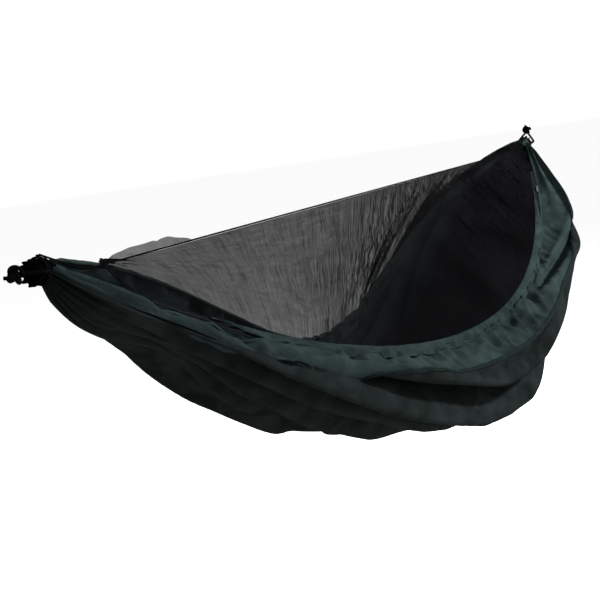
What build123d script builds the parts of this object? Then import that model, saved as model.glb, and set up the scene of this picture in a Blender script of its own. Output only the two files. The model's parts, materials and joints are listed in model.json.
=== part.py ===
from build123d import *
import math
import os

# Camping hammock with a built-in insect net, hung and empty.
# Frame: X runs from the left end to the right end, Y from the near edge to the
# far edge, Z up. The origin is midway between the two gathered ends.
# All sizes are in millimetres.

# ---- driving dimensions -------------------------------------------------
HALF_SPAN = 1080.0        # centre to the middle of an end gather
CLOTH = 2.0               # thickness given to a fabric panel
NET = 1.2                 # thickness given to a net panel
SEAM_GAP = 0.3            # clearance between panels that are sewn together
SLANT_GAP = 2.6           # the same where the hem crosses a panel's edge at a slant

NEAR_OUT = 220.0          # near net seam: how far it stands out at mid span
NEAR_DROP = 350.0         # near net seam: how far it hangs at mid span
FAR_OUT = 200.0           # far net seam: largest stand-out
FAR_DROP = 337.0          # far net seam: largest drop
FAR_OUT_SHAPE = (1.85, 0.87)
FAR_DROP_SHAPE = (1.06, 1.46)
FAR_CLEAR = 8.0           # keeps the far seam off the ridge cord near the ends
BELLY_DROP = 527.0        # lowest line of the bed below the ends
BELLY_SHAPE = (1.04, 0.78)
BAND_OUT = {-1: 66.0, 1: 38.0}       # side panels: width outward from the net seam
BAND_FALL = {-1: 36.0, 1: 82.0}      # side panels: fall to the seam with the bed
BAND_END = 8              # how late the side panels narrow towards the ends
BAND_FLARE = 26.0         # extra width where the right end spreads
FLARE_AT = 0.76
FLARE_SPAN = 0.20

PANEL_END = 0.987         # where the panels enter the end gathers, of HALF_SPAN
DOOR_END = 0.87           # where the net side that lifts stops
CORNER_START = 0.878      # fixed net corners past the ends of the zip
NET_END = 0.95            # where the net stops at each end
FAR_NET_START = -0.87     # the far net stops early where its seam meets the ridge
STATIONS = 23             # cross sections along a panel
CORNER_STATIONS = 7

BELLY_LIP = 6.0           # least drop of the bed below its side panels
BED_STEPS = 14            # spans round one cross section of the bed

HEM_WIDTH = 9.0           # binding along the net seams
HEM_THICK = 2.6
FAR_NET_GAP = 1.8         # from the far hem to the far net
DOOR_GAP = 1.0            # from the zip's upper tape to the net side
TAPE_WIDTH = 5.0          # zip tape
TAPE_THICK = 1.0
TEETH_R = 1.6             # zip coil
TEETH_GAP = 2.0           # between the two coils, where the slider's post runs
ZIP_HALF = 0.86           # half the zip's span, of HALF_SPAN
SLIDER_AT = 0.80          # where the closed slider rests, of HALF_SPAN
TAPE_LAP = 0.2            # gap between a tape and its coil
STOP_EXTRA = 0.8          # how much thicker than its coil a zip stop is
STOP_START = 0.0005       # a stop's reach past the zip's end, of HALF_SPAN
STOP_END = 0.005

SLIDER_LENGTH = 13.0
SLIDER_HALF_THICK = 3.5
SLIDER_ROUND = 1.6
SLIDER_WALL = 1.3         # past the coil, on the side away from the tape
SLIDER_REACH = 5.2        # over the tape
SLIDER_PLAY = 0.4         # round the coil
SLOT_PLAY = 0.8           # total, round the tape
SLIDER_CUT = 0.03         # half the travel cut through it, of HALF_SPAN
EAR_RISE = 2.4            # pivot above the slider's face
EAR_APART = 3.0           # each ear from the middle
EAR_SIZE = (1.2, 3.6, 4.0)
EAR_SINK = 0.6            # how far the ears reach into the body
PIN_LENGTH = 6.4
PIVOT_R = 0.8
PIVOT_PLAY = 0.3

PULL_LENGTH = 26.0
PULL_WIDTH = 7.0
PULL_THICK = 1.4
PULL_ROUND = 2.2
PULL_RISE = 0.2           # its blade stands this far off the pivot's height
EYE_R = 2.0
EYE_LENGTH = 4.2
NECK_LENGTH = 8.0
NECK_AT = 5.4
TAB_START = 5.0

RIDGE_Z = -26.0           # height of the ridge cord
RIDGE_R = 1.5
RIDGE_STRAIGHT = 985.0    # half of its straight stretch
RIDGE_BEND = 120.0        # radius where it turns up to its ties
NET_CLEAR = 0.6           # gap between the ridge cord and a net's top edge
CORNER_CLEAR = 2.2        # the same where the ridge cord bends
RIDGE_TIE_Y = -7.0        # where it is tied beside the top of each gather
RIDGE_KNOT_R = 2.6
RIDGE_KNOT_COIL = 1.2     # cord radius in the knot's turn
RIDGE_KNOT_AT = -1.2      # from the bore, outward
RIDGE_TIE_REACH = -5.0    # where the cord ends, from the bore, outward
RIDGE_CLEAR = 0.8         # over the lashing

GATHER_R = 18.0           # gathered end of the bed
GATHER_LENGTH = 22.0
GATHER_ROUND = 6.0
GATHER_Z = -12.0
CORD_R = 3.0              # end loop cord
CORD_CLEAR = 0.35
LOOP_LENGTH = {-1: 32.0, 1: 46.0}    # from each gather's bore to its knot
LOOP_HALF = 30.0          # half the width of the loop
LOOP_BEND = 5.5
LOOP_TILT = {-1: 4.0, 1: 48.0}       # degrees above the horizontal, outward
LEG_GAP = 0.2             # half the gap between the loop's legs at the knot
KNOT_R = 7.0
KNOT_CORE = 1.5           # extra radius of the knot's heart
KNOT_BIGHTS = 3
KNOT_STEP = 3.0           # spacing of the bights along the knot
LASHING_R = 1.4
LASHING_AT = 6.2          # from the bore, inward
LASHING_GAP = 0.1

os.makedirs("parts", exist_ok=True)


def put(name, solid):
    export_step(solid, f"parts/{name}.step")
    print(name, round(solid.volume, 1))


# ---- the shape of the bed -----------------------------------------------
def along(t, skew, power):
    """A rise from nothing at both ends, t = -1 and 1, to 1 between them."""
    return math.sin(math.pi * ((t + 1) / 2) ** skew) ** power


SAG = math.hypot(NEAR_OUT, NEAR_DROP)
ARC_R = (HALF_SPAN**2 + SAG**2) / (2 * SAG)     # the near seam is one arc
ARC_Y = -NEAR_OUT / SAG                         # its plane, through the X axis
ARC_Z = -NEAR_DROP / SAG


def near_seam(t, inset=0.0):
    """The near net seam, or a line inset from it towards the ridge."""
    sag = math.sqrt((ARC_R - inset) ** 2 - (HALF_SPAN * t) ** 2) - (ARC_R - SAG)
    return Vector(HALF_SPAN * t, ARC_Y * sag, ARC_Z * sag)


def far_seam(t):
    out = FAR_OUT * along(t, *FAR_OUT_SHAPE) + FAR_CLEAR * (1 - abs(t) ** BAND_END)
    return Vector(HALF_SPAN * t, out, -FAR_DROP * along(t, *FAR_DROP_SHAPE))


def band_edge(t, side):
    """The lower edge of a side panel, where it meets the centre panel."""
    seam = near_seam(t) if side < 0 else far_seam(t)
    size = 1 - abs(t) ** BAND_END
    flare = BAND_FLARE * math.exp(-(((t - FLARE_AT) / FLARE_SPAN) ** 2)) * size
    return seam + Vector(0, side * (BAND_OUT[side] * size + flare), -BAND_FALL[side] * size)


def belly(t, angle):
    """A point of the centre panel, angle -90 at its near and 90 at its far edge."""
    edge = band_edge(t, -1 if angle < 0 else 1)
    low = min(-BELLY_DROP * along(t, *BELLY_SHAPE), edge.Z - BELLY_LIP)
    y = abs(math.sin(math.radians(angle))) * edge.Y
    z = edge.Z + (low - edge.Z) * math.cos(math.radians(angle))
    return Vector(HALF_SPAN * t, y, z)


def strip(points, thick):
    """A thin closed face: a curve through points, in one X plane, made thick."""
    upper = []
    lower = []
    for i, p in enumerate(points):
        before = points[max(i - 1, 0)]
        after = points[min(i + 1, len(points) - 1)]
        run = (after - before).normalized()
        side = Vector(0, -run.Z, run.Y) * (thick / 2)
        upper.append(p + side)
        lower.append(p - side)
    if len(points) == 2:
        edges = [Line(upper[0], upper[1]), Line(lower[0], lower[1])]
    else:
        edges = [Spline(*upper), Spline(*lower)]
    edges.append(Line(upper[0], lower[0]))
    edges.append(Line(upper[-1], lower[-1]))
    return Face(Wire(edges))


def panel(curve, thick, first, last, count=STATIONS):
    """Loft a thin panel through the strips that curve gives along the span."""
    stops = [first + (last - first) * i / (count - 1) for i in range(count)]
    return loft([strip(curve(t), thick) for t in stops])


def shortened(a, b, start, end):
    """The two ends of the line from a to b, moved in by start and end."""
    run = (b - a).normalized()
    return [a + run * start, b - run * end]


def bed_section(t):
    turns = [-90 + 180 * i / BED_STEPS for i in range(BED_STEPS + 1)]
    points = [belly(t, angle) for angle in turns]
    first = (points[1] - points[0]).normalized()
    last = (points[-2] - points[-1]).normalized()
    points[0] = points[0] + first * (CLOTH / 2 + SEAM_GAP)
    points[-1] = points[-1] + last * (CLOTH / 2 + SEAM_GAP)
    return points


def near_band_section(t):
    return shortened(near_seam(t), band_edge(t, -1), HEM_WIDTH / 2 + SEAM_GAP, 0)


def far_band_section(t):
    return shortened(far_seam(t), band_edge(t, 1), HEM_WIDTH / 2 + SEAM_GAP, 0)


def ridge_tie(side, reach, radius):
    """A point on the gather, reach from the bore, at a radius from its axis."""
    rise = math.sqrt(radius**2 - RIDGE_TIE_Y**2)
    return Vector(side * (HALF_SPAN + reach), RIDGE_TIE_Y, GATHER_Z + rise)


RIDGE_TIE_RADIUS = GATHER_R + 2 * LASHING_R + RIDGE_R + RIDGE_CLEAR


def ridge(t):
    """The ridge cord's line: straight, then up to its tie on the gather."""
    x = HALF_SPAN * t
    start = Vector(math.copysign(RIDGE_STRAIGHT, t), 0, RIDGE_Z)
    if abs(x) <= RIDGE_STRAIGHT:
        return Vector(x, 0, RIDGE_Z)
    tie = ridge_tie(int(math.copysign(1, t)), RIDGE_TIE_REACH, RIDGE_TIE_RADIUS)
    share = (x - start.X) / (tie.X - start.X)
    return start + (tie - start) * share


def ridge_gap(t):
    bend = abs(HALF_SPAN * t) > RIDGE_STRAIGHT - RIDGE_BEND / 3
    return RIDGE_R + (CORNER_CLEAR if bend else NET_CLEAR)


def far_net_section(t):
    return shortened(ridge(t), far_seam(t), ridge_gap(t), HEM_WIDTH / 2 + FAR_NET_GAP)


def near_net_section(t):
    lower = near_seam(t, TEETH_IN + TEETH_R + TEETH_GAP + 2 * TEETH_R + TAPE_WIDTH + DOOR_GAP)
    return shortened(ridge(t), lower, ridge_gap(t), 0)


def net_corner_section(t):
    return shortened(ridge(t), near_seam(t), RIDGE_R + CORNER_CLEAR, HEM_WIDTH / 2 + SLANT_GAP)


# ---- pieces that follow the near seam's arc ------------------------------
ARC_CENTRE = Vector(0, -ARC_Y * (ARC_R - SAG), -ARC_Z * (ARC_R - SAG))
ARC_NORMAL = Vector(0, -ARC_Z, ARC_Y)
TEETH_IN = HEM_WIDTH / 2 + SEAM_GAP + TAPE_WIDTH + TEETH_R
ARC_AXIS = Axis(ARC_CENTRE, ARC_NORMAL)


def arc_angle(t):
    """Degrees round the arc from mid span, positive towards the left end."""
    return -math.degrees(math.asin(HALF_SPAN * t / ARC_R))


def arc_plane(t):
    """A plane across the arc: x points outward from the arc's centre."""
    outward = Vector(0, ARC_Y, ARC_Z).rotate(Axis(Vector(0, 0, 0), ARC_NORMAL), arc_angle(t))
    return Plane(ARC_CENTRE + outward * ARC_R, x_dir=outward, z_dir=ARC_NORMAL.cross(outward))


def arc_bar(profile, first, last):
    """Turn a profile, drawn across the arc, along it from t = first to last."""
    placed = arc_plane(last) * profile
    return revolve(placed, ARC_AXIS, arc_angle(first) - arc_angle(last))


def flat_profile(inner, outer, thick):
    """A strip between two distances outward of the seam."""
    return Location(((inner + outer) / 2, 0)) * Rectangle(outer - inner, thick)


def round_profile(at, radius):
    return Location((at, 0)) * Circle(radius)


def zip_half(teeth_at, direction):
    """The tape and coil of one half: direction 1 lies outward of its coil."""
    near_edge = teeth_at + direction * TEETH_R
    far_edge = near_edge + direction * TAPE_WIDTH
    inner = min(near_edge, far_edge)
    outer = max(near_edge, far_edge)
    if direction > 0:
        inner += TAPE_LAP
    else:
        outer -= TAPE_LAP
    tape = arc_bar(flat_profile(inner, outer, TAPE_THICK), -ZIP_HALF, ZIP_HALF)
    teeth = arc_bar(round_profile(teeth_at, TEETH_R), -ZIP_HALF, ZIP_HALF)
    return tape, teeth


LOWER_TEETH = -TEETH_IN
UPPER_TEETH = LOWER_TEETH - 2 * TEETH_R - TEETH_GAP


EAR_OUT = SLIDER_HALF_THICK + EAR_RISE
SLIDER_INNER = LOWER_TEETH - TEETH_R - SLIDER_WALL
SLIDER_OUTER = LOWER_TEETH + SLIDER_REACH
SLIDER_MIDDLE = (SLIDER_INNER + SLIDER_OUTER) / 2


def make_slider():
    """A C round the lower coil, open to its tape, with ears for the pull."""
    width = SLIDER_OUTER - SLIDER_INNER
    block = Location((SLIDER_MIDDLE, 0, 0)) * Box(width, 2 * SLIDER_HALF_THICK, SLIDER_LENGTH)
    block = fillet(block.edges().filter_by(Axis.Y), SLIDER_ROUND)
    ears = [
        Location((SLIDER_MIDDLE + side * EAR_APART, EAR_OUT - EAR_SINK, 0)) * Box(*EAR_SIZE)
        for side in (-1, 1)
    ]
    pin = Location((SLIDER_MIDDLE, EAR_OUT, 0), (0, 90, 0)) * Cylinder(PIVOT_R, PIN_LENGTH)
    body = arc_plane(SLIDER_AT) * (block + ears + pin)
    first = SLIDER_AT - SLIDER_CUT
    last = SLIDER_AT + SLIDER_CUT
    bore = arc_bar(round_profile(LOWER_TEETH, TEETH_R + SLIDER_PLAY), first, last)
    slot_profile = flat_profile(LOWER_TEETH, SLIDER_OUTER + TAPE_WIDTH, TAPE_THICK + SLOT_PLAY)
    slot = arc_bar(slot_profile, first, last)
    return body - bore - slot


def make_pull():
    """The pull lies along the tape from its eye, towards the bed's middle."""
    eye = Cylinder(EYE_R, EYE_LENGTH) - Cylinder(PIVOT_R + PIVOT_PLAY, 2 * EYE_LENGTH)
    eye = Location((SLIDER_MIDDLE, EAR_OUT, 0), (0, 90, 0)) * eye
    neck = Box(EYE_LENGTH, PULL_THICK, NECK_LENGTH)
    neck = Location((SLIDER_MIDDLE, EAR_OUT + PULL_RISE, NECK_AT)) * neck
    tab = Box(PULL_WIDTH, PULL_THICK, PULL_LENGTH - NECK_LENGTH)
    tab = fillet(tab.edges().filter_by(Axis.Y), PULL_ROUND)
    tab = Location((SLIDER_MIDDLE, EAR_OUT + PULL_RISE, PULL_LENGTH / 2 + TAB_START)) * tab
    return arc_plane(SLIDER_AT) * (eye + neck + tab)


# ---- end gathers, loops and knots ----------------------------------------
def end_direction(side):
    tilt = math.radians(LOOP_TILT[side])
    return Vector(side * math.cos(tilt), 0, math.sin(tilt))


def bore_point(side):
    return Vector(side * HALF_SPAN, 0, GATHER_Z)


def anchor(side):
    """The middle of the end knot."""
    return bore_point(side) + end_direction(side) * (LOOP_LENGTH[side] + KNOT_R)


def make_gather(side):
    barrel = Cylinder(GATHER_R, GATHER_LENGTH)
    barrel = fillet(barrel.edges(), GATHER_ROUND)
    barrel = Location(bore_point(side), (0, 90, 0)) * barrel
    bore = Location(bore_point(side), (90, 0, 0)) * Cylinder(CORD_R + CORD_CLEAR, 3 * GATHER_R)
    return barrel - bore


def make_lashing(side):
    ring = Torus(GATHER_R + LASHING_R + LASHING_GAP, LASHING_R)
    place = bore_point(side) + Vector(-side * LASHING_AT, 0, 0)
    return Location(place, (0, 90, 0)) * ring


def make_loop(side):
    base = bore_point(side)
    out = end_direction(side)
    across = Vector(0, 1, 0)
    top = LOOP_LENGTH[side] - KNOT_R * 0.5
    points = [
        base + out * top + across * (CORD_R + LEG_GAP),
        base + across * LOOP_HALF,
        base - across * LOOP_HALF,
        base + out * top - across * (CORD_R + LEG_GAP),
    ]
    path = FilletPolyline(*points, radius=LOOP_BEND)
    start = Plane(path @ 0, z_dir=path % 0)
    return sweep(start * Circle(CORD_R), path=path)


def make_knot(side):
    """Three round bights of cord, drawn tight about the loop's two legs."""
    base = anchor(side)
    frame = Plane(base, z_dir=end_direction(side), x_dir=(0, 1, 0))
    knot = Sphere(KNOT_R + KNOT_CORE)
    spacing = 360 / KNOT_BIGHTS
    for i in range(KNOT_BIGHTS):
        turn = math.radians(spacing * i + 30)
        place = (KNOT_R * math.cos(turn), KNOT_R * math.sin(turn), KNOT_STEP * (i - 1))
        knot += Location(place, (25, 35 * i, spacing * i)) * Torus(KNOT_R - KNOT_CORE, CORD_R)
    return frame * knot


def make_ridge_cord():
    points = [
        ridge_tie(-1, RIDGE_TIE_REACH, RIDGE_TIE_RADIUS),
        Vector(-RIDGE_STRAIGHT, 0, RIDGE_Z),
        Vector(RIDGE_STRAIGHT, 0, RIDGE_Z),
        ridge_tie(1, RIDGE_TIE_REACH, RIDGE_TIE_RADIUS),
    ]
    path = FilletPolyline(*points, radius=RIDGE_BEND)
    start = Plane(path @ 0, z_dir=path % 0)
    return sweep(start * Circle(RIDGE_R), path=path)


def make_ridge_knot(side):
    place = ridge_tie(side, RIDGE_KNOT_AT, GATHER_R + RIDGE_KNOT_R + RIDGE_CLEAR)
    knot = Sphere(RIDGE_KNOT_R) + Torus(RIDGE_KNOT_R - RIDGE_KNOT_COIL / 2, RIDGE_KNOT_COIL)
    return Location(place, (0, 70, 0)) * knot


def far_hem_section(t):
    """A flat binding folded over the far seam, in line with the side panel."""
    seam = far_seam(t)
    run = (band_edge(t, 1) - seam).normalized()
    return [seam - run * (HEM_WIDTH / 2 - SEAM_GAP), seam + run * HEM_WIDTH / 2]


put("centre_panel", panel(bed_section, CLOTH, -PANEL_END, PANEL_END))
put("near_side_panel", panel(near_band_section, CLOTH, -PANEL_END, PANEL_END))
put("far_side_panel", panel(far_band_section, CLOTH, -PANEL_END, PANEL_END))
put("far_net_panel", panel(far_net_section, NET, FAR_NET_START, NET_END))
put("near_net_panel", panel(near_net_section, NET, -DOOR_END, DOOR_END))
put("left_net_corner", panel(net_corner_section, NET, -NET_END, -CORNER_START, CORNER_STATIONS))
put("right_net_corner", panel(net_corner_section, NET, CORNER_START, NET_END, CORNER_STATIONS))
hem_profile = flat_profile(-HEM_WIDTH / 2, HEM_WIDTH / 2, HEM_THICK)
put("near_hem_binding", arc_bar(hem_profile, -PANEL_END, PANEL_END))
put("far_hem_binding", panel(far_hem_section, HEM_THICK, -PANEL_END, PANEL_END))

lower_tape, lower_teeth = zip_half(LOWER_TEETH, 1)
upper_tape, upper_teeth = zip_half(UPPER_TEETH, -1)
put("lower_zip_tape", lower_tape)
put("lower_zip_teeth", lower_teeth)
put("upper_zip_tape", upper_tape)
put("upper_zip_teeth", upper_teeth)
stop_profile = round_profile(LOWER_TEETH, TEETH_R + STOP_EXTRA)
put("left_zip_stop", arc_bar(stop_profile, -ZIP_HALF - STOP_END, -ZIP_HALF - STOP_START))
put("right_zip_stop", arc_bar(stop_profile, ZIP_HALF + STOP_START, ZIP_HALF + STOP_END))
put("zip_slider", make_slider())
put("zip_pull", make_pull())

put("ridge_cord", make_ridge_cord())
for side, word in ((-1, "left"), (1, "right")):
    put(f"{word}_end_gather", make_gather(side))
    put(f"{word}_gather_lashing", make_lashing(side))
    put(f"{word}_ridge_knot", make_ridge_knot(side))
    put(f"{word}_end_loop", make_loop(side))
    put(f"{word}_loop_knot", make_knot(side))
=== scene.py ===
import json
import math

import bpy
import numpy as np
from mathutils import Matrix, Vector, noise


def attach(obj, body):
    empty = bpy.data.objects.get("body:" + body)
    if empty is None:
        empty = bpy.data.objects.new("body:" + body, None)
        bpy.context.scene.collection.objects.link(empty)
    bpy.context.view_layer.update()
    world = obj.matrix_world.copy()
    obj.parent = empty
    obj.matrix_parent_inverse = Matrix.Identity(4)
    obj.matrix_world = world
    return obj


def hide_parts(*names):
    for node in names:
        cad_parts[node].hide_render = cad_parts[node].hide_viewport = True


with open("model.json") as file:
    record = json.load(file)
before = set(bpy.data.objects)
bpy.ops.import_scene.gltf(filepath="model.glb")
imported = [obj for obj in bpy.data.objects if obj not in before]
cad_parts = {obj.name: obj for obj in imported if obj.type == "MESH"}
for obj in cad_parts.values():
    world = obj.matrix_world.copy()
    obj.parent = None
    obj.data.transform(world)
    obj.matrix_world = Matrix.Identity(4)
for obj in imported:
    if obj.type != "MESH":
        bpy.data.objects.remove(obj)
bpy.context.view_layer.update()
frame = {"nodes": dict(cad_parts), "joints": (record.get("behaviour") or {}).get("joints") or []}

# Camping hammock, hung empty: X runs from its left end to its right end,
# -Y is the edge with the zip, +Z is up. Metres throughout.
JOINTS = {j["name"]: j for j in frame["joints"]}

WORD = {-1: "left", 1: "right"}      # the end that a sign along X stands for

# ---- driving sizes, the same as the CAD part's ----------------------------
HALF_SPAN = JOINTS["right_loop_swivel"]["pos_m"][0]
GATHER_Z = JOINTS["right_loop_swivel"]["pos_m"][2]
RIDGE_Z = JOINTS["net_door_lift"]["pos_m"][2]
NEAR_OUT, NEAR_DROP = 0.220, 0.350       # the near net seam, at mid span
FAR_OUT, FAR_DROP, FAR_CLEAR = 0.200, 0.337, 0.008
FAR_OUT_SHAPE = (1.85, 0.87)             # skew and power of a rise along the span
FAR_DROP_SHAPE = (1.06, 1.46)
BELLY_DROP = 0.527        # lowest line of the bed below the ends
BELLY_SHAPE = (1.04, 0.78)
BELLY_LIP = 0.006         # least drop of the bed below its side panels
BAND_OUT = {-1: 0.066, 1: 0.038}         # side panels, near and far: width outward
BAND_FALL = {-1: 0.036, 1: 0.082}        # and their fall to the seam with the bed
BAND_END = 8              # how late the side panels narrow towards the ends
BAND_FLARE, FLARE_AT, FLARE_SPAN = 0.026, 0.76, 0.20     # wider at the right end
PANEL_END = 0.987         # where the panels enter the end gathers, of HALF_SPAN
NET_END = 0.95            # where the net stops at each end
FAR_NET_START = -0.87
RIDGE_STRAIGHT = 0.985    # half of the ridge cord's straight stretch
RIDGE_TIE = (1.075, -0.007, 0.010)
CORD_R = 0.003            # end loop cord
LOOP_LENGTH = {-1: 0.032, 1: 0.046}      # from each gather's bore to its knot
LOOP_TILT = {-1: math.radians(4), 1: math.radians(48)}   # upward, going outward
KNOT_R = 0.007

# ---- sizes that only the looks need, as shares of HALF_SPAN or in metres ----
DOOR_END = 0.8712         # the lifting net's ends, up to the fixed corners' edges
CORNER_START = 0.8740
TAPE_TOP = 0.0225         # from the near seam up to the top of the zip's tapes
CLOTH_LENGTH = 2.45       # of the bed's cloth, laid flat

SAG = math.hypot(NEAR_OUT, NEAR_DROP)
ARC_R = (HALF_SPAN**2 + SAG**2) / (2 * SAG)
ARC_Y, ARC_Z = -NEAR_OUT / SAG, -NEAR_DROP / SAG
ARC_NORMAL = np.array((0.0, -ARC_Z, ARC_Y))
OUTWARD = -ARC_NORMAL     # out of the near seam's plane, away from the bed

# ---- camera ----------------------------------------------------------------
SENSOR_WIDTH, FOCAL_LENGTH = 36, 66      # mm
CAM_TARGET = Vector((-0.171, 0.134, -0.227))
CAM_DISTANCE = 2.335
CAM_TURN, CAM_RISE, CAM_ROLL = (math.radians(a) for a in (59.9, 8.1, -9.2))


def add_camera():
    """The main view, rolled a little about its line of sight."""
    look = Vector((
        math.sin(CAM_TURN) * math.cos(CAM_RISE),
        math.cos(CAM_TURN) * math.cos(CAM_RISE),
        -math.sin(CAM_RISE),
    ))
    level = Vector((math.cos(CAM_TURN), -math.sin(CAM_TURN), 0))
    upright = level.cross(look)
    right = math.cos(CAM_ROLL) * level + math.sin(CAM_ROLL) * upright
    up = math.cos(CAM_ROLL) * upright - math.sin(CAM_ROLL) * level
    data = bpy.data.cameras.new("camera")
    data.sensor_width = SENSOR_WIDTH
    data.lens = FOCAL_LENGTH
    data.clip_start = 0.05
    camera = bpy.data.objects.new("camera", data)
    turn = Matrix((right, up, -look)).transposed().to_4x4()
    camera.matrix_world = Matrix.Translation(CAM_TARGET - look * CAM_DISTANCE) @ turn
    bpy.context.scene.collection.objects.link(camera)
    bpy.context.scene.camera = camera


add_camera()


# ---- materials ---------------------------------------------------------------
# Waves of a texture: across UVs in metres, or across the object's own metres.
THREAD_WAVES, GRID_WAVES, MESH_WAVES = 700, 52, 150
GRID_SHARPNESS = 24.0
STITCH_WAVES = (95, 130)        # along and across a seam
STITCH_LEVEL = 0.55             # wave height that counts as thread
DRAWN_FROM, DRAWN_TO = -0.35, 0.45      # X where the nets' pleats start and are full
MOST_COVER = 0.97
HAIR_COVER, CLOUD_COVER, SLACK_COVER, MESH_COVER = 0.55, 0.12, 0.16, 0.06


class Shader:
    """A small helper that builds one principled material from nodes."""

    def __init__(self, name, roughness, specular):
        self.material = bpy.data.materials.new(name)
        self.material.use_nodes = True
        self.tree = self.material.node_tree
        self.surface = self.tree.nodes["Principled BSDF"]
        self.surface.inputs["Roughness"].default_value = roughness
        self.surface.inputs["Specular IOR Level"].default_value = specular

    def node(self, kind, **inputs):
        made = self.tree.nodes.new(kind)
        for key, value in inputs.items():
            made.inputs[key.replace("_", " ")].default_value = value
        return made

    def link(self, source, target):
        self.tree.links.new(source, target)

    def coordinates(self, scale=(1, 1, 1), uv=False):
        texture = self.tree.nodes.new("ShaderNodeTexCoord")
        mapping = self.tree.nodes.new("ShaderNodeMapping")
        mapping.inputs["Scale"].default_value = scale
        self.link(texture.outputs["UV" if uv else "Object"], mapping.inputs["Vector"])
        return mapping.outputs["Vector"]

    def noise(self, where, scale, detail=3, distortion=0.0):
        made = self.node(
            "ShaderNodeTexNoise", Scale=scale, Detail=detail, Distortion=distortion)
        self.link(where, made.inputs["Vector"])
        return made.outputs["Fac"]

    def wave(self, where, scale, direction="X", distortion=0.0):
        made = self.node("ShaderNodeTexWave", Scale=scale, Distortion=distortion)
        made.bands_direction = direction
        self.link(where, made.inputs["Vector"])
        return made.outputs["Fac"]

    def maths(self, operation, a, b):
        made = self.tree.nodes.new("ShaderNodeMath")
        made.operation = operation
        for socket, value in zip(made.inputs, (a, b)):
            if isinstance(value, (int, float)):
                socket.default_value = value
            else:
                self.link(value, socket)
        return made.outputs["Value"]

    def times(self, a, b):
        return self.maths("MULTIPLY", a, b)

    def plus(self, a, b):
        return self.maths("ADD", a, b)

    def ramp(self, factor, *stops):
        made = self.tree.nodes.new("ShaderNodeValToRGB")
        elements = made.color_ramp.elements
        while len(elements) < len(stops):
            elements.new(0.5)
        for element, (place, colour) in zip(elements, stops):
            element.position = place
            element.color = (*colour, 1)
        self.link(factor, made.inputs["Fac"])
        return made.outputs["Color"]

    def bump(self, *layers):
        """Each layer is (height, strength, distance)."""
        last = None
        for height, strength, distance in layers:
            made = self.node("ShaderNodeBump", Strength=strength, Distance=distance)
            self.link(height, made.inputs["Height"])
            if last is not None:
                self.link(last, made.inputs["Normal"])
            last = made.outputs["Normal"]
        self.link(last, self.surface.inputs["Normal"])

    def colour(self, source):
        self.link(source, self.surface.inputs["Base Color"])

    def rough(self, source):
        self.link(source, self.surface.inputs["Roughness"])


def nylon(name, dark, light, creases=1.0):
    """Thin parachute nylon: a plain weave, a faint grid of thicker threads, creases."""
    s = Shader(name, roughness=0.7, specular=0.0)
    uv = s.coordinates(uv=True)
    space = s.coordinates()
    threads = s.times(s.wave(uv, THREAD_WAVES, "X"), s.wave(uv, THREAD_WAVES, "Y"))
    grid = s.maths("MAXIMUM", s.wave(uv, GRID_WAVES, "X"), s.wave(uv, GRID_WAVES, "Y"))
    grid_line = s.maths("POWER", grid, GRID_SHARPNESS)
    crumple = s.noise(s.coordinates((0.6, 1.0, 1.0)), 22, 6, 0.8)
    fine = s.noise(space, 95, 5, 0.5)
    patches = s.noise(space, 2.6, 4)
    mottled = s.plus(s.times(crumple, 0.5), s.times(patches, 0.5))
    s.colour(s.ramp(mottled, (0.36, dark), (0.64, light)))
    s.rough(s.plus(s.times(fine, 0.25), 0.45))
    s.bump(
        (crumple, 0.55 * creases, 0.007),
        (fine, 0.40 * creases, 0.0014),
        (grid_line, 0.3, 0.0002),
        (threads, 0.3, 0.0001),
    )
    return s.material


NET_DARK, NET_LIGHT = (0.0011, 0.0011, 0.0013), (0.0034, 0.0034, 0.0038)


def netting(name, cover):
    """Fine black insect net: see-through, denser where threads bunch in pleats.

    Hair-fine upright pleats show towards the right end, where it is drawn up, and
    slack cross ripples towards the left. Cover is the share that its threads hide
    where it lies flat."""
    s = Shader(name, roughness=0.8, specular=0.0)
    uv = s.coordinates(uv=True)
    space = s.coordinates()
    parts = s.tree.nodes.new("ShaderNodeSeparateXYZ")
    s.link(space, parts.inputs["Vector"])
    drawn = s.node("ShaderNodeMapRange")
    drawn.interpolation_type = "SMOOTHSTEP"
    drawn.inputs["From Min"].default_value = DRAWN_FROM
    drawn.inputs["From Max"].default_value = DRAWN_TO
    s.link(parts.outputs["X"], drawn.inputs["Value"])
    drawn_up = drawn.outputs["Result"]
    hairs = s.noise(s.coordinates((1.0, 0.035, 1.0), uv=True), 210, 3, 0.15)
    hairs = s.maths("POWER", s.times(hairs, 1.55), 4.0)
    hairs = s.times(hairs, s.plus(s.times(drawn_up, 0.85), 0.15))
    cloud = s.noise(space, 4, 3, 0.4)
    slack = s.noise(s.coordinates((0.30, 1.3, 1.0), uv=True), 55, 3, 1.0)
    slack = s.times(slack, s.maths("SUBTRACT", 1.0, s.times(drawn_up, 0.8)))
    mesh = s.maths("MAXIMUM", s.wave(uv, MESH_WAVES, "X"), s.wave(uv, MESH_WAVES, "Y"))
    dense = s.plus(s.times(hairs, HAIR_COVER), s.times(cloud, CLOUD_COVER))
    dense = s.plus(dense, s.times(slack, SLACK_COVER))
    dense = s.plus(dense, s.times(mesh, MESH_COVER))
    alpha = s.maths("MINIMUM", s.plus(dense, cover), MOST_COVER)
    s.link(alpha, s.surface.inputs["Alpha"])
    s.colour(s.ramp(cloud, (0.3, NET_DARK), (0.7, NET_LIGHT)))
    return s.material


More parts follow.
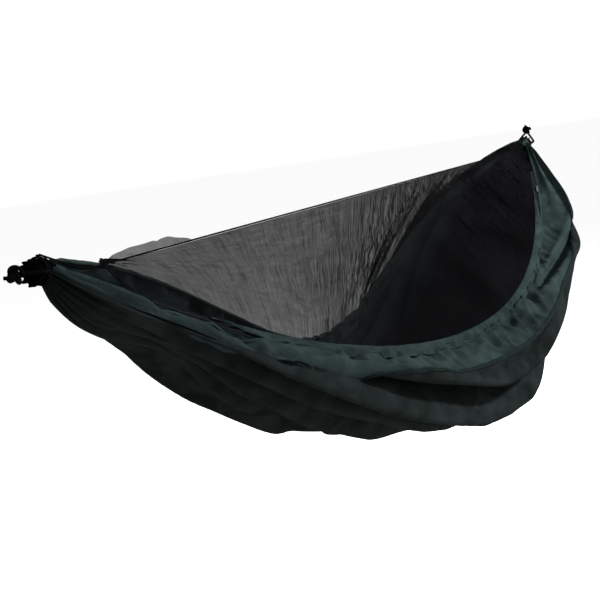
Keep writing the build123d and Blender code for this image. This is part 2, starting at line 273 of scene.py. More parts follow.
def felled_seam(name, dark, light):
    """A folded seam with two rows of thread; its UV runs along and across it, in metres."""
    s = Shader(name, roughness=0.7, specular=0.0)
    uv = s.coordinates(uv=True)
    ahead, across = STITCH_WAVES
    stitches = s.times(s.wave(uv, ahead, "X"), s.wave(uv, across, "Y"))
    thread = s.maths("GREATER_THAN", stitches, STITCH_LEVEL)
    pucker = s.noise(uv, 260, 3)
    tone = s.plus(s.times(thread, 0.6), s.times(pucker, 0.3))
    s.colour(s.ramp(tone, (0.1, dark), (0.8, light)))
    s.bump((pucker, 0.7, 0.0010), (stitches, 0.6, 0.0004))
    return s.material


def braid(name, dark, light):
    """Braided cord: crossed strands over a soft core."""
    s = Shader(name, roughness=0.7, specular=0.0)
    space = s.coordinates()
    strands = s.times(s.wave(space, 150, "DIAGONAL", 2.0), s.wave(space, 180, "X", 3.0))
    fuzz = s.noise(space, 900, 4)
    tone = s.plus(strands, s.times(fuzz, 0.3))
    s.colour(s.ramp(tone, (0.1, dark), (0.9, light)))
    s.bump((strands, 0.8, 0.0006), (fuzz, 0.3, 0.0002))
    return s.material


def woven_tape(name, dark, light):
    """Narrow woven tape with cross ribs."""
    s = Shader(name, roughness=0.7, specular=0.0)
    space = s.coordinates()
    ribs = s.wave(space, 400, "X", 0.5)
    fuzz = s.noise(space, 500, 4)
    s.colour(s.ramp(s.times(ribs, fuzz), (0.05, dark), (0.6, light)))
    s.bump((ribs, 0.6, 0.0004), (fuzz, 0.3, 0.0002))
    return s.material


def coil_plastic(name, dark, light):
    """Black plastic wound into a zip's coil."""
    s = Shader(name, roughness=0.6, specular=0.02)
    space = s.coordinates()
    turns = s.wave(space, 320, "X")
    dust = s.noise(space, 240, 3)
    s.colour(s.ramp(dust, (0.3, dark), (0.8, light)))
    s.bump((turns, 1.0, 0.0008))
    return s.material


def enamel(name, dark, light):
    """Black enamelled metal, a little worn."""
    s = Shader(name, roughness=0.5, specular=0.12)
    space = s.coordinates()
    worn = s.noise(space, 160, 5)
    s.colour(s.ramp(worn, (0.45, dark), (0.75, light)))
    s.rough(s.plus(s.times(worn, 0.3), 0.4))
    s.bump((worn, 0.2, 0.0002))
    return s.material


# Painted light and shade: one green nylon, lighter on the lit side panels, darker for shade on
# the centre panel.
SHADED_BED = nylon("bed_nylon_painted_shade", (0.0026, 0.0034, 0.0033), (0.0080, 0.0102, 0.0099))
LIT_SIDE = nylon("side_nylon_painted_light", (0.0056, 0.0088, 0.0085), (0.0152, 0.0232, 0.0225), 1.3)
# Painted shade: the side nylon, darkened near to black for the left gathered end in deep shade.
SHADED_BUNCH = nylon("bunched_nylon_painted_shade", (0.0003, 0.0004, 0.0004), (0.0009, 0.0012, 0.0012), 1.4)
SEAM = felled_seam("felled_seam", (0.0030, 0.0048, 0.0046), (0.0110, 0.0165, 0.0160))
NEAR_NETTING = netting("near_insect_net", 0.28)
FAR_NETTING = netting("far_insect_net", 0.62)
CORD = braid("black_cord", (0.0006, 0.0006, 0.0007), (0.0045, 0.0045, 0.0048))
ZIP_TAPE = woven_tape("zip_tape", (0.0020, 0.0026, 0.0026), (0.0070, 0.0085, 0.0085))
COIL = coil_plastic("zip_coil", (0.003, 0.003, 0.0035), (0.010, 0.010, 0.0105))
ENAMEL = enamel("zip_enamel", (0.005, 0.005, 0.0055), (0.020, 0.020, 0.020))


# ---- mesh helpers --------------------------------------------------------------
def add_mesh(name, points, faces, material, uvs=None):
    mesh = bpy.data.meshes.new(name)
    mesh.from_pydata([tuple(p) for p in points], [], faces)
    if uvs is not None:
        layer = mesh.uv_layers.new(name="UVMap")
        index = np.zeros(len(mesh.loops), dtype=np.int32)
        mesh.loops.foreach_get("vertex_index", index)
        layer.data.foreach_set("uv", np.asarray(uvs, float)[index].ravel())
    mesh.polygons.foreach_set("use_smooth", [True] * len(mesh.polygons))
    mesh.materials.append(material)
    obj = bpy.data.objects.new(name, mesh)
    bpy.context.scene.collection.objects.link(obj)
    return obj


def grid_faces(rows, columns, wrap=False):
    """Four-sided faces of a grid of points, wrapped round its rows for a tube."""
    faces = []
    last = columns if wrap else columns - 1
    for i in range(rows - 1):
        for j in range(last):
            k = (j + 1) % columns
            near, ahead = i * columns, (i + 1) * columns
            faces.append((near + j, ahead + j, ahead + k, near + k))
    return faces


def add_grid(name, grid, material, cell, lean=0.0):
    """A sheet from a rows x columns x 3 array; cell is its flat spacing, for the weave.

    A lean slants the weave along the sheet, by so many metres across its width."""
    rows, columns = grid.shape[:2]
    across, along_ = np.meshgrid(np.arange(columns) * cell[1], np.arange(rows) * cell[0])
    along_ = along_ + lean * np.arange(columns) / (columns - 1)
    uvs = np.stack((along_, across), -1).reshape(-1, 2)
    return add_mesh(name, grid.reshape(-1, 3), grid_faces(rows, columns), material, uvs)


TUBE_UP = (0.13, 0.31, 0.94)      # no tube here starts along it


def add_tube(name, path, radius, material, sides=12, closed=False):
    """A round tube of one radius, or one radius for each point, along a path."""
    path = np.asarray(path, float)
    count = len(path)
    radii = np.full(count, radius) if np.isscalar(radius) else np.asarray(radius)
    ahead = np.roll(path, -1, 0) - np.roll(path, 1, 0)
    if not closed:
        ahead[0] = path[1] - path[0]
        ahead[-1] = path[-1] - path[-2]
    ahead /= np.linalg.norm(ahead, axis=1)[:, None]
    side = np.cross(ahead[0], TUBE_UP)
    points = []
    for i in range(count):
        side = side - ahead[i] * side.dot(ahead[i])
        side /= np.linalg.norm(side)
        other = np.cross(ahead[i], side)
        for k in range(sides):
            a = 2 * math.pi * k / sides
            points.append(
                path[i] + radii[i] * (math.cos(a) * side + math.sin(a) * other))
    faces = grid_faces(count, sides, wrap=True)
    if closed:
        base = (count - 1) * sides
        for k in range(sides):
            following = (k + 1) % sides
            faces.append((base + k, k, following, base + following))
    else:
        faces.append(tuple(range(sides)))
        faces.append(tuple(range(len(points) - 1, len(points) - sides - 1, -1)))
    return add_mesh(name, points, faces, material)


def smooth_curve(points, count):
    """Points along a smooth curve through the given ones."""
    points = np.asarray(points, float)
    padded = np.vstack((2 * points[0] - points[1], points, 2 * points[-1] - points[-2]))
    out = []
    for s in np.linspace(0, len(points) - 1, count):
        i = min(int(s), len(points) - 2)
        u = s - i
        a, b, c, d = padded[i:i + 4]
        out.append(
            0.5 * (2 * b + (c - a) * u + (2 * a - 5 * b + 4 * c - d) * u**2
                   + (3 * b - a - 3 * c + d) * u**3)
        )
    return np.array(out)


def ripple(points, scale, seed):
    """Smooth noise from -1 to 1 at each point of an array."""
    flat = np.asarray(points, float).reshape(-1, 3)
    shift = Vector((seed * 7.1, seed * 3.7, seed * 1.3))
    values = [noise.noise(Vector(p * scale) + shift) for p in flat]
    return np.array(values).reshape(np.asarray(points).shape[:-1])


def spread(*parts):
    """Arrays that broadcast together, as the last axis of one array of points."""
    return np.stack(np.broadcast_arrays(*parts), -1)


def normals_of(grid):
    """Unit normals of a grid; on the bed they point inward."""
    along_rows = np.gradient(grid, axis=0)
    along_columns = np.gradient(grid, axis=1)
    n = np.cross(along_rows, along_columns)
    return n / np.maximum(np.linalg.norm(n, axis=-1, keepdims=True), 1e-9)


# ---- the shape of the bed --------------------------------------------------------
def along(t, skew, power):
    """A rise from nothing at both ends, t = -1 and 1, to 1 between them."""
    return np.sin(np.pi * np.clip((t + 1) / 2, 1e-9, 1 - 1e-9) ** skew) ** power


def near_seam(t, inset=0.0):
    """The near net seam, or a line inset from it towards the ridge."""
    sag = np.sqrt((ARC_R - inset) ** 2 - (HALF_SPAN * t) ** 2) - (ARC_R - SAG)
    return np.stack((HALF_SPAN * t, ARC_Y * sag, ARC_Z * sag), -1)


def far_seam(t):
    """The far net seam."""
    out = FAR_OUT * along(t, *FAR_OUT_SHAPE) + FAR_CLEAR * (1 - abs(t) ** BAND_END)
    return spread(HALF_SPAN * t, out, -FAR_DROP * along(t, *FAR_DROP_SHAPE))


def band_edge(t, side):
    """The lower edge of a side panel, where it meets the centre panel."""
    seam = near_seam(t) if side < 0 else far_seam(t)
    size = 1 - abs(t) ** BAND_END
    flare = BAND_FLARE * np.exp(-(((t - FLARE_AT) / FLARE_SPAN) ** 2)) * size
    out = side * (BAND_OUT[side] * size + flare)
    return seam + spread(0 * t, out, -BAND_FALL[side] * size)


def belly(t, angle):
    """A line of the centre panel, angle -90 at its near and 90 at its far edge."""
    edge = band_edge(t, -1 if angle < 0 else 1)
    low = np.minimum(-BELLY_DROP * along(t, *BELLY_SHAPE), edge[..., 2] - BELLY_LIP)
    y = abs(math.sin(angle)) * edge[..., 1]
    z = edge[..., 2] + (low - edge[..., 2]) * math.cos(angle)
    return np.stack((HALF_SPAN * t, y, z), -1)


def resampled(lines, count):
    """Each row of points respaced evenly along its own length."""
    out = np.zeros((len(lines), count, 3))
    for i, line in enumerate(lines):
        steps = np.linalg.norm(np.diff(line, axis=0), axis=1)
        at = np.concatenate(((0,), np.cumsum(steps)))
        for k in range(3):
            out[i, :, k] = np.interp(np.linspace(0, at[-1], count), at, line[:, k])
    return out


ROWS = 361                # along the bed
BAND_COLUMNS = 15
CENTRE_COLUMNS = 121
BELLY_LINES = 61
T = np.linspace(-PANEL_END, PANEL_END, ROWS)


def bed_grids():
    """The near side, centre and far side panels, from the near net seam round."""
    angles = np.radians(np.linspace(-90, 90, BELLY_LINES))
    centre = np.stack([belly(T, a) for a in angles], 1)
    centre = resampled(centre, CENTRE_COLUMNS)
    share = np.linspace(0, 1, BAND_COLUMNS)[None, :, None]
    near = near_seam(T)[:, None] * (1 - share) + band_edge(T, -1)[:, None] * share
    far = band_edge(T, 1)[:, None] * (1 - share) + far_seam(T)[:, None] * share
    return near, centre, far


near_band, centre, far_band = bed_grids()
whole = np.concatenate((near_band[:, :-1], centre, far_band[:, 1:]), 1)
V = np.linspace(0, 1, whole.shape[1])


# Long folds of the bed, sculpted: where each starts and ends in (t, v), how
# far it bows between them, its width as a share of the bed's girth, and its depth
# before the gain. They fade out by an edge's margin, so that the nets' seams stay.
LONG_FOLDS = (
    ((-0.98, 0.05), (-0.40, 0.17), 0.00, 0.016, 0.014),
    ((-0.80, 0.05), (0.88, 0.13), 0.10, 0.022, 0.044),
    ((-0.95, 0.09), (0.45, 0.36), 0.03, 0.024, 0.024),
    ((-0.72, 0.08), (0.30, 0.21), 0.02, 0.012, 0.012),
    ((-0.45, 0.10), (0.60, 0.25), 0.03, 0.013, 0.012),
    ((-0.92, 0.20), (0.10, 0.47), 0.03, 0.030, 0.016),
    ((-0.96, 0.30), (-0.45, 0.52), 0.00, 0.036, 0.014),
    ((-0.10, 0.36), (0.75, 0.40), 0.00, 0.034, 0.007),
    ((0.25, 0.00), (0.78, 0.12), 0.00, 0.013, 0.014),
    ((-0.97, 0.96), (-0.30, 0.70), 0.00, 0.028, 0.016),
    ((-0.95, 0.85), (-0.40, 0.58), 0.00, 0.028, 0.015),
    ((0.30, 0.74), (0.97, 0.94), 0.00, 0.028, 0.006),
    ((0.40, 0.66), (0.97, 0.82), 0.00, 0.030, 0.003),
    ((-0.40, 0.90), (0.60, 0.90), -0.04, 0.024, 0.012),
)
FOLD_GAIN = 1.9
EDGE_MARGIN = 0.04

# Broad dents of the bed: middle and half widths in t and v, and the depth inward.
DENTS = (
    (-0.80, 0.48, 0.09, 0.12, 0.022),
    (-0.93, 0.42, 0.05, 0.20, -0.024),
)

BROAD_PLEATS, FINE_PLEATS, SHARP_PLEATS = 12, 21, 8.5    # at the ends, round the bed
PLEAT_DEPTH = 0.0075
PLEAT_REACH = {-1: 0.13, 1: 0.15}
PLEAT_START = 0.035       # they grow over this share from each end
EDGE_PUCKER = 0.0100      # at the near hem, and half as deep at the far one
EDGE_REACH = 0.075
CRUMPLE = 0.0035          # all over the slack cloth


def fold(t, v, start, end, bow, width, depth):
    """A valley seen from outside the bed, a ridge below it and a shoulder above."""
    share = np.clip((t - start[0]) / (end[0] - start[0]), 0, 1)
    middle = start[1] + (end[1] - start[1]) * share + bow * np.sin(np.pi * share)
    strength = np.sin(np.pi * share) ** 0.8
    lower = np.where(middle < 0.5, 1.0, -1.0)
    away = (v - middle) * lower / width
    valley = np.exp(-(np.where(away < 0, 1.7, 0.8) * away) ** 2)
    ridge = 0.60 * np.exp(-((away - 2.2) / 1.4) ** 2)
    shoulder = 0.30 * np.exp(-((away + 1.6) / 0.8) ** 2)
    return FOLD_GAIN * depth * strength * (valley - ridge - shoulder)


def ridged(points, scale, seed):
    """Noise with sharp crests, like crumpled cloth, about -0.6 to 1."""
    return 1 - 3.2 * abs(ripple(points, scale, seed))


def bed_folds(grid):
    """How far each point of the bed stands in along its normal."""
    t = np.broadcast_to(T[:, None], grid.shape[:2])
    v = np.broadcast_to(V[None], grid.shape[:2])
    end = 1 - abs(t)
    wander = ripple(spread(t * 2.0, v * 3, 0 * t), 1.0, 3)
    pleats = np.sin(2 * np.pi * (v * BROAD_PLEATS + wander * 0.8 + 0.4 * np.sign(t)))
    pleats += 0.6 * np.sin(2 * np.pi * (v * FINE_PLEATS + wander * 1.5))
    pleats -= 0.4 * abs(np.sin(2 * np.pi * (v * SHARP_PLEATS + wander)))
    reach = np.where(t < 0, PLEAT_REACH[-1], PLEAT_REACH[1])
    out = PLEAT_DEPTH * np.exp(-end / reach) * np.clip(end / PLEAT_START, 0, 1) * pleats
    for start, finish, bow, width, depth in LONG_FOLDS:
        out = out + fold(t, v, start, finish, bow, width, depth)
    for t0, v0, wide, tall, depth in DENTS:
        out = out + depth * np.exp(-(((t - t0) / wide) ** 2) - ((v - v0) / tall) ** 2)
    out = out * np.clip(np.minimum(v, 1 - v) / EDGE_MARGIN, 0, 1)
    edge = np.exp(-(v / EDGE_REACH) ** 2) + 0.5 * np.exp(-((1 - v) / EDGE_REACH) ** 2)
    # The hems are slack to the left and drawn tight to the right.
    slack = np.clip(1.25 - 1.7 * np.clip(t - 0.05, 0, 1), 0.12, 1)
    pucker = ridged(spread(t * 23 + v * 9, v * 20, 0 * t), 1.0, 5)
    out = out - EDGE_PUCKER * pucker * edge * slack
    # The crumples are fullest at the bottom of the left half.
    full = np.clip(1.2 - abs(v - 0.5) * 0.6 - 0.9 * np.clip(t + 0.3, 0, 1), 0.2, 1)
    soft = ridged(spread(t * 5 + v * 3, v * 8 - t * 2, 0 * t), 1.0, 8)
    return out - CRUMPLE * soft * full * np.clip(end / 0.2, 0, 1)


bed = whole + normals_of(whole) * bed_folds(whole)[..., None]
first = BAND_COLUMNS - 1
last = first + CENTRE_COLUMNS - 1
CLOTH_CELL = (CLOTH_LENGTH / (ROWS - 1), 0.0082)


def open_area(grid):
    """The area of a sheet, from the diagonals of its cells."""
    a = grid[1:, 1:] - grid[:-1, :-1]
    b = grid[1:, :-1] - grid[:-1, 1:]
    return 0.5 * np.linalg.norm(np.cross(a, b), axis=-1).sum()


SEAM_HALF, SEAM_LIFT = 0.0042, 0.0016


def seam_strip(name, column):
    """A narrow felled seam laid over one column of the bed, on its outside."""
    normal = -normals_of(bed)[:, column]
    ahead = np.gradient(bed[:, column], axis=0)
    ahead /= np.linalg.norm(ahead, axis=1)[:, None]
    across = np.cross(normal, ahead)
    shares = np.linspace(-1, 1, 7)
    grid = np.stack([
        bed[:, column] + across * SEAM_HALF * k + normal * SEAM_LIFT * (1.15 - k * k)
        for k in shares
    ], 1)
    steps = np.linalg.norm(np.diff(bed[:, column], axis=0), axis=1)
    run = np.concatenate(((0,), np.cumsum(steps)))
    uvs = spread(run[:, None], SEAM_HALF * shares[None]).reshape(-1, 2)
    piece = add_mesh(name, grid.reshape(-1, 3), grid_faces(*grid.shape[:2]), SEAM, uvs)
    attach(piece, "hammock")
    return piece


def add_bed():
    """The bed's three panels of cloth, and a felled seam between each two."""
    near_strip = seam_strip("near_felled_seam", first)
    far_strip = seam_strip("far_felled_seam", last)
    panels = (
        ("centre_cloth", bed[:, first:last + 1], SHADED_BED,
         "bed_fabric", "centre_panel", 0.72, []),
        ("near_side_cloth", bed[:, :first + 1], LIT_SIDE,
         "side_fabric", "near_side_panel", 0.09, [near_strip]),
        ("far_side_cloth", bed[:, last:], LIT_SIDE,
         "side_fabric", "far_side_panel", 0.09, [far_strip]),
    )
    for name, grid, material, slot, node, width, trims in panels:
        piece = add_grid(name, grid, material, CLOTH_CELL)
        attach(piece, "hammock")
        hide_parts(node)
        print(name, "area", round(open_area(grid), 3))


add_bed()


# ---- nets ---------------------------------------------------------------------------
NET_CELL, NET_ROW = 0.0045, 0.0085
NET_COLUMNS = 45
NET_GAP, CORNER_GAP = 0.0021, 0.0030     # a net's top edge, below the ridge cord
NET_SAG = 0.006
NET_PLEATS, NET_FINE_PLEATS = 31, 52     # over half the span
LEFT_PLEAT, PLEAT_GROWTH = 0.0006, 0.0034        # a pleat's depth, and what it gains
NET_SLACK = 0.0034
EASE = 4                  # grid rows to each side that ease an edge's puckers


def ridge_line(t):
    """The ridge cord's middle: straight, then up to its ties at both ends."""
    past = HALF_SPAN * abs(t) - RIDGE_STRAIGHT
    share = np.clip(past / (RIDGE_TIE[0] - RIDGE_STRAIGHT), 0, 1)
    return spread(
        HALF_SPAN * t, RIDGE_TIE[1] * share, RIDGE_Z + (RIDGE_TIE[2] - RIDGE_Z) * share)


def bed_edge(column):
    """The bed's near (0) or far (-1) edge, its puckers eased, as a function of t."""
    padded = np.pad(bed[:, column], ((EASE, EASE), (0, 0)), mode="edge")
    line = np.stack([padded[k:k + ROWS] for k in range(2 * EASE + 1)]).mean(0)
    return lambda t: spread(
        HALF_SPAN * t, np.interp(t, T, line[:, 1]), np.interp(t, T, line[:, 2]))


def net_grid(lower, seed, start, end, gap=NET_GAP):
    """A net from the ridge down to a seam: fine pleats at the right, slack to the left."""
    t = np.linspace(start, end, max(int((end - start) * HALF_SPAN / NET_CELL), 12))
    top, bottom = ridge_line(t), lower(t)
    run = bottom - top
    top = top + run / np.linalg.norm(run, axis=-1, keepdims=True) * gap
    share = np.linspace(0, 1, NET_COLUMNS)[None, :, None]
    grid = top[:, None] * (1 - share) + bottom[:, None] * share
    s = share[..., 0]
    tt = np.broadcast_to(t[:, None], grid.shape[:2])
    ss = np.broadcast_to(s, grid.shape[:2])
    hang = np.sin(np.pi * ss) ** 0.6
    wander = ripple(spread(tt * 9, ss * 0.8, 0 * tt), 1.0, seed)
    pleat = np.sin(2 * np.pi * (tt * NET_PLEATS + wander * 1.7))
    pleat = pleat + 0.7 * np.sin(2 * np.pi * (tt * NET_FINE_PLEATS + wander * 3.1))
    pleat *= 0.55 + 0.9 * abs(ripple(spread(tt * 14, ss, 0 * tt), 1.0, seed + 5))
    deep = LEFT_PLEAT + PLEAT_GROWTH * np.clip((tt + 0.1) / 0.5, 0, 1)
    slack = ridged(spread(tt * 8 + ss * 2.5, ss * 9 - tt * 5, 0 * tt), 1.0, seed + 2)
    loose = NET_SLACK * np.clip((0.35 - tt) / 0.5, 0.15, 1)
    move = hang * (pleat * deep + slack * loose) + NET_SAG * np.sin(np.pi * ss)
    return grid + normals_of(grid) * move[..., None]


def add_net(name, grid, material, body, node, flat, lean=0.0):
    piece = add_grid(name, grid, material, (NET_CELL, NET_ROW), lean)
    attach(piece, body)
    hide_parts(node)
    print(name, "area", round(open_area(grid), 4), "flat", round(flat[0] * flat[1], 4))


def add_nets():
    door = net_grid(lambda t: near_seam(t, TAPE_TOP), 11, -DOOR_END, DOOR_END)
    add_net("near_net", door, NEAR_NETTING, "net_door", "near_net_panel", (0.30, 2.00))
    far = net_grid(bed_edge(-1), 17, FAR_NET_START, NET_END)
    add_net("far_net", far, FAR_NETTING, "hammock", "far_net_panel", (0.25, 2.05),
            lean=-0.22)
    for side, word in WORD.items():
        start, end = sorted((side * CORNER_START, side * NET_END))
        corner = net_grid(bed_edge(0), 23, start, end, CORNER_GAP)
        add_net(f"{word}_corner_net", corner, NEAR_NETTING, "hammock",
                f"{word}_net_corner", (0.065, 0.085))


FLAP_END = 0.765          # it stops short of the slider at either end of the zip
FLAP_TAPER = 0.12
FLAP_TOP, FLAP_LOW = 0.001, -0.003       # from the tapes' top, and from the near seam
FLAP_LEAST = 0.0006       # it stands at least this far off the zip's plane
FLAP_CROWN, FLAP_LIFT = 0.0030, 0.0012
FLAP_PUCKER, FLAP_FINE, FLAP_WAVE = 0.0038, 0.0012, 0.0030
FLAP_ROWS, FLAP_COLUMNS = 700, 13
FLAP_CELL = (0.0027, 0.0022)


def add_zip_flap():
    """A puckered cloth flap along the net side's lower edge, lying over the zip."""
    t = np.linspace(-FLAP_END, FLAP_END, FLAP_ROWS)
    share = np.linspace(0, 1, FLAP_COLUMNS)
    top, low = near_seam(t, TAPE_TOP + FLAP_TOP), near_seam(t, FLAP_LOW)
    narrowed = np.clip((FLAP_END - abs(t)) / FLAP_TAPER, 0.2, 1)[:, None]
    low = top + (low - top) * narrowed
    grid = top[:, None] * (1 - share[None, :, None]) + low[:, None] * share[None, :, None]
    tt, ss = np.broadcast_arrays(t[:, None], share[None])
    pucker = ridged(spread(tt * 24 + ss * 0.6, ss * 0.9, 0 * tt), 1.0, 51)
    fine = ripple(spread(tt * 70, ss * 1.5, 0 * tt), 1.0, 53)
    slack = np.clip(1.2 - 1.4 * np.clip(tt, 0, 1), 0.3, 1)
    rise = FLAP_CROWN * np.sin(np.pi * ss**0.8) + FLAP_LIFT
    rise = rise + (FLAP_PUCKER * pucker + FLAP_FINE * fine) * slack * (0.25 + 0.75 * ss)
    grid = grid + OUTWARD * np.maximum(rise, FLAP_LEAST)[..., None]
    grid[..., 2] += FLAP_WAVE * ripple(spread(tt * 20, 0 * tt, 0 * tt), 1.0, 57) * ss
    piece = add_grid("zip_flap", grid, LIT_SIDE, FLAP_CELL)
    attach(piece, "net_door")
    print("zip_flap area", round(open_area(grid), 4))


CORNER_TAPE_R = 0.0008
CORNER_TAPE_INSET = 0.001
CORNER_TAPE_BOW = np.array((0.0, -0.004, 0.002))


def add_corner_bindings():
    """A narrow tape closes each fixed corner's free edge, from the ridge to the hem."""
    for side, word in WORD.items():
        t = np.array([side * (CORNER_START + CORNER_TAPE_INSET)])
        top, bottom = ridge_line(t)[0], near_seam(t, CORNER_TAPE_INSET)[0]
        path = smooth_curve((top, 0.5 * (top + bottom) + CORNER_TAPE_BOW, bottom), 30)
        piece = add_tube(f"{word}_corner_binding", path, CORNER_TAPE_R, ZIP_TAPE, sides=8)
        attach(piece, "hammock")


LOOSE_START, LOOSE_END = -0.862, -0.66
LOOSE_ROWS, LOOSE_COLUMNS = 90, 9
LOOSE_HEIGHT = 0.017
LOOSE_LIFT = 0.0016       # its lower edge, above the ridge cord's middle
LOOSE_WAVE, LOOSE_LEAN = 0.010, 0.007


def add_loose_net():
    """Slack net that stands up past the ridge near the left end."""
    t = np.linspace(LOOSE_START, LOOSE_END, LOOSE_ROWS)
    place = np.clip((t - LOOSE_START) / (LOOSE_END - LOOSE_START), 0, 1)
    rise = np.sin(np.pi * place) ** 0.7
    uneven = abs(ripple(spread(t * 16, 0 * t, 0 * t), 1.0, 31))
    height = LOOSE_HEIGHT * rise * (0.65 + 0.9 * uneven)
    share = np.linspace(0, 1, LOOSE_COLUMNS)
    grid = ridge_line(t)[:, None] + np.zeros((1, LOOSE_COLUMNS, 3))
    grid[..., 2] += LOOSE_LIFT + height[:, None] * share[None]
    wave = ripple(spread(t[:, None] * 30, share[None] * 1.4, 0.0), 1.0, 37)
    grid[..., 1] += LOOSE_WAVE * wave * share[None] + LOOSE_LEAN * share[None]
    piece = add_grid("loose_net", grid, FAR_NETTING, (NET_CELL, 0.002))
    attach(piece, "net_door")


add_nets()
add_zip_flap()
add_corner_bindings()
add_loose_net()


# ---- hems --------------------------------------------------------------------------
def add_hems():
    """The lumpy bindings along both net seams."""
    for name, line, node, radius in (
        ("near_hem", bed[:, 0], "near_hem_binding", 0.0040),
        ("far_hem", bed[:, -1], "far_hem_binding", 0.0034),
    ):
        lumps = 1 + 0.30 * ripple(line, 55, 21) + 0.15 * ripple(line, 160, 25)
        piece = add_tube(name, line, radius * lumps, LIT_SIDE, sides=12)
        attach(piece, "hammock")
        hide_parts(node)


add_hems()


# ---- gathered ends, lashings and knots --------------------------------------------------
def bore_point(side):
    """Where an end loop passes through its gathered end."""
    return np.array((side * HALF_SPAN, 0.0, GATHER_Z))


def end_direction(side):
    """Outward along an end loop."""
    return np.array((side * math.cos(LOOP_TILT[side]), 0.0, math.sin(LOOP_TILT[side])))


# Half section of the bunched cloth: distance outward from the bore, radius, ruffle.
BUNCH = (
    (-0.036, 0.0050, 0.20),
    (-0.027, 0.0105, 0.22),
    (-0.018, 0.0158, 0.16),
    (-0.010, 0.0172, 0.08),
    (-0.006, 0.0166, 0.03),
    (-0.002, 0.0176, 0.07),
    (0.004, 0.0182, 0.12),
    (0.009, 0.0186, 0.17),
    (0.0125, 0.0176, 0.20),
    (0.0115, 0.0135, 0.17),
    (0.007, 0.0100, 0.12),
    (0.004, 0.0050, 0.06),
)
BUNCH_MATERIAL = {-1: SHADED_BUNCH, 1: LIT_SIDE}      # the left end is in deep shade
BUNCH_R = 0.018
BUNCH_STATIONS, BUNCH_POINTS = 46, 132
BUNCH_TWIST = 6.0         # radians per metre, where the cloth wanders most
BUNCH_RIM = 0.0022        # how unevenly its outer rim stands out


def add_bunch(side):
    """The gathered cloth end: pleats run through the lashing into a short ruffle."""
    stations = smooth_curve(BUNCH, BUNCH_STATIONS)
    angle = np.linspace(0, 2 * np.pi, BUNCH_POINTS, endpoint=False)
    wander = ripple(spread(np.cos(angle), np.sin(angle), 0 * angle + side), 1.6, 41)
    shape = np.cos(11 * angle + 3.0 * wander)
    shape = shape + 0.55 * np.cos(19 * angle + 4 * wander + side)
    shape -= 0.5 * abs(np.cos(5.5 * angle + wander))
    points = []
    for out, radius, ruffle in stations:
        turned = angle + BUNCH_TWIST * out * wander
        r = radius * (1 + ruffle * (shape - 0.5) * 0.62)
        rim = BUNCH_RIM * shape * np.clip(out / 0.01, 0, 1)
        x = side * (HALF_SPAN + out) + side * rim
        points.append(spread(x, r * np.cos(turned), GATHER_Z + r * np.sin(turned)))
    grid = np.array(points)
    faces = grid_faces(len(grid), BUNCH_POINTS, wrap=True)
    uvs = spread(stations[:, :1], BUNCH_R * angle[None]).reshape(-1, 2)
    word = WORD[side]
    piece = add_mesh(
        f"{word}_bunched_end", grid.reshape(-1, 3), faces, BUNCH_MATERIAL[side], uvs)
    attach(piece, "hammock")
    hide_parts(f"{word}_end_gather")


LASH_TURNS = 3.5
LASH_R, LASH_CORD_R = 0.0188, 0.0012
LASH_START, LASH_RUN = 0.0094, 0.0068    # inward of the bore, and how far it winds out


def add_lashing(side):
    """A few turns of thin cord pulled tight round the bunched cloth."""
    word = WORD[side]
    turn = np.linspace(0, 2 * LASH_TURNS * np.pi, 170)
    radius = LASH_R + 0.0004 * np.sin(turn * 5.3)
    x = side * (HALF_SPAN - LASH_START + LASH_RUN * turn / turn[-1])
    path = spread(x, radius * np.cos(turn), GATHER_Z + radius * np.sin(turn))
    piece = add_tube(f"{word}_lashing_cord", path, LASH_CORD_R, CORD, sides=8)
    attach(piece, "hammock")
    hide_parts(f"{word}_gather_lashing")


KNOT_SPREAD, KNOT_HEIGHT = 0.0037, 0.0050
HEART_R = 0.0044
HEART_START, HEART_END = 0.0125, 0.0075  # behind the knot's middle, and past it
TAIL_ENDS = (1.06, 1.0, 0.7)             # a tail swells a little, then is cut
TAIL_POINTS = 16


def add_knot(side):
    """A stopper knot: three tight bights about the loop's legs, and two short tails."""
    word = WORD[side]
    out = end_direction(side)
    across = np.array((0.0, 1.0, 0.0))
    up = np.cross(out, across)
    centre = bore_point(side) + out * (LOOP_LENGTH[side] + KNOT_R)
    a = np.linspace(0, 2 * np.pi, 150, endpoint=False)
    flat = (2 + np.cos(3 * a)) * KNOT_SPREAD
    local = spread(
        flat * np.cos(2 * a), flat * np.sin(2 * a), KNOT_HEIGHT * np.sin(3 * a))
    spin = math.radians(25 + 20 * side)
    wide = math.cos(spin) * across + math.sin(spin) * up
    tall = math.cos(spin) * up - math.sin(spin) * across
    path = centre + local[:, :1] * wide + local[:, 1:2] * tall + local[:, 2:] * out
    thick = CORD_R * (0.98 + 0.05 * np.sin(9 * a))
    bights = add_tube(f"{word}_knot_bights", path, thick, CORD, sides=14, closed=True)
    core = smooth_curve(
        (centre - out * HEART_START, centre + 0.001 * wide, centre + out * HEART_END), 24)
    heart = add_tube(f"{word}_knot_heart", core, HEART_R, CORD, sides=14)
    tails = []
    for k, letter in ((-1, "a"), (1, "b")):
        tail = smooth_curve((
            centre + out * 0.003 + wide * 0.003 * k,
            centre + out * 0.009 + wide * 0.005 * k + tall * 0.002,
            centre + out * 0.013 + wide * 0.009 * k + tall * 0.001 * k,
        ), TAIL_POINTS)
        width = CORD_R * np.concatenate((np.ones(TAIL_POINTS - len(TAIL_ENDS)), TAIL_ENDS))
        tails.append(
            add_tube(f"{word}_knot_tail_{letter}", tail, width * 0.9, CORD, sides=12))
    for piece in (bights, heart, *tails):
        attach(piece, f"{word}_loop")
    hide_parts(f"{word}_loop_knot")


for end_sign in WORD:
    add_bunch(end_sign)
    add_lashing(end_sign)
    add_knot(end_sign)


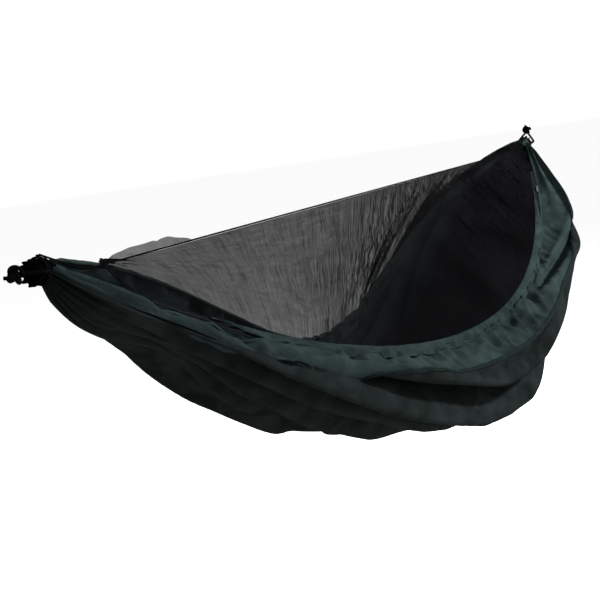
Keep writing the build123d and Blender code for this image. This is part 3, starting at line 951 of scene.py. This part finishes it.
# ---- CAD pieces that stay ------------------------------------------------------------
def dress(names, material):
    """Give a material to pieces that keep their CAD shape."""
    for name in names:
        mesh = frame["nodes"][name].data
        mesh.materials.clear()
        mesh.materials.append(material)


dress(("lower_zip_tape", "upper_zip_tape"), ZIP_TAPE)
dress(("lower_zip_teeth", "upper_zip_teeth"), COIL)
dress(("left_zip_stop", "right_zip_stop", "zip_slider", "zip_pull"), ENAMEL)
dress(("ridge_cord", "left_ridge_knot", "right_ridge_knot"), CORD)
dress(("left_end_loop", "right_end_loop"), CORD)


# ---- floor and light --------------------------------------------------------------------
FLOOR_Z = -1.25
FLOOR_HALF = 60
FLOOR_TONES = (0.945, 0.975)


def add_stage():
    """A pale floor, bright enough that no horizon shows against the white world."""
    s = Shader("pale_floor", roughness=0.9, specular=0.1)
    speckle = s.noise(s.coordinates(), 4, 2)
    dark, light = FLOOR_TONES
    s.colour(s.ramp(speckle, (0.0, (dark,) * 3), (1.0, (light,) * 3)))
    corners = [
        (x * FLOOR_HALF, y * FLOOR_HALF, FLOOR_Z)
        for x, y in ((-1, -1), (1, -1), (1, 1), (-1, 1))
    ]
    floor = add_mesh("floor", corners, [(0, 1, 2, 3)], s.material)


def add_light(name, place, target, size, power):
    data = bpy.data.lights.new(name, "AREA")
    data.shape = "DISK"
    data.size = size
    data.energy = power
    light = bpy.data.objects.new(name, data)
    aim = (Vector(target) - Vector(place)).to_track_quat("-Z", "Y")
    light.matrix_world = Matrix.Translation(place) @ aim.to_matrix().to_4x4()
    bpy.context.scene.collection.objects.link(light)


def add_world():
    world = bpy.data.worlds.new("studio")
    world.use_nodes = True
    background = world.node_tree.nodes["Background"]
    background.inputs["Color"].default_value = (1, 1, 1, 1)
    background.inputs["Strength"].default_value = 1.0
    bpy.context.scene.world = world
    bpy.context.scene.view_settings.view_transform = "Standard"


add_stage()
add_world()
add_light("key", (2.4, -2.5, 1.25), (0.3, 0, -0.3), 0.45, 520)
add_light("rim", (-1.5, 2.4, 1.6), (0, 0, -0.2), 1.5, 25)
